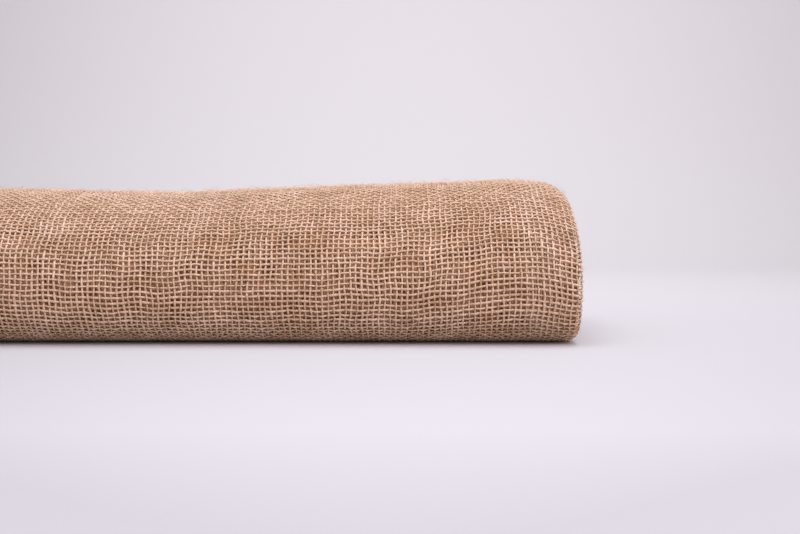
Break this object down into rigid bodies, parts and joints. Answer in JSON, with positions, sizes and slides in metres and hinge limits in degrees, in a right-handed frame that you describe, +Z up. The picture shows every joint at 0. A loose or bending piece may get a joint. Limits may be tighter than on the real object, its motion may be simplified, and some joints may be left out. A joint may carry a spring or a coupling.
{
  "type": "flat spool of jute ribbon cloth",
  "caption": "Wide open-weave jute ribbon cloth wound flat round a slide-out card core, with a loose tail that lifts at the back.",
  "frame": {"origin": "centre of the flat underside that the roll lies on, at the height of the surface beneath it", "axes": "+X along the roll towards the folded end of the cloth, -Y towards the plain front bulge, +Z up; the loose tail is on the +Y back"},
  "size_m": [0.35, 0.1469, 0.074],
  "materials": {
    "jute_cloth": "matte",
    "liner_paper": "matte",
    "fluting_paper": "matte"
  },
  "bodies": {
    "roll": {"turn_1": "jute_cloth", "turn_2": "jute_cloth", "turn_3": "jute_cloth", "turn_4": "jute_cloth", "turn_5": "jute_cloth", "turn_6": "jute_cloth", "turn_7": "jute_cloth", "turn_8": "jute_cloth", "turn_9": "jute_cloth"},
    "core": {"core_top_liner": "liner_paper", "core_fluting": "fluting_paper", "core_bottom_liner": "liner_paper"},
    "tail": {"tail_flap": "jute_cloth"}
  },
  "joints": [
    {"name": "core_slide", "type": "slide", "parent": "roll", "child": "core", "axis": [1, 0, 0], "range_m": [0, 0.35]},
    {"name": "tail_lift", "type": "hinge", "parent": "roll", "child": "tail", "pos_m": [0, 0.0694, 0.042], "axis": [1, 0, 0], "range_deg": [0, 100]}
  ]
}
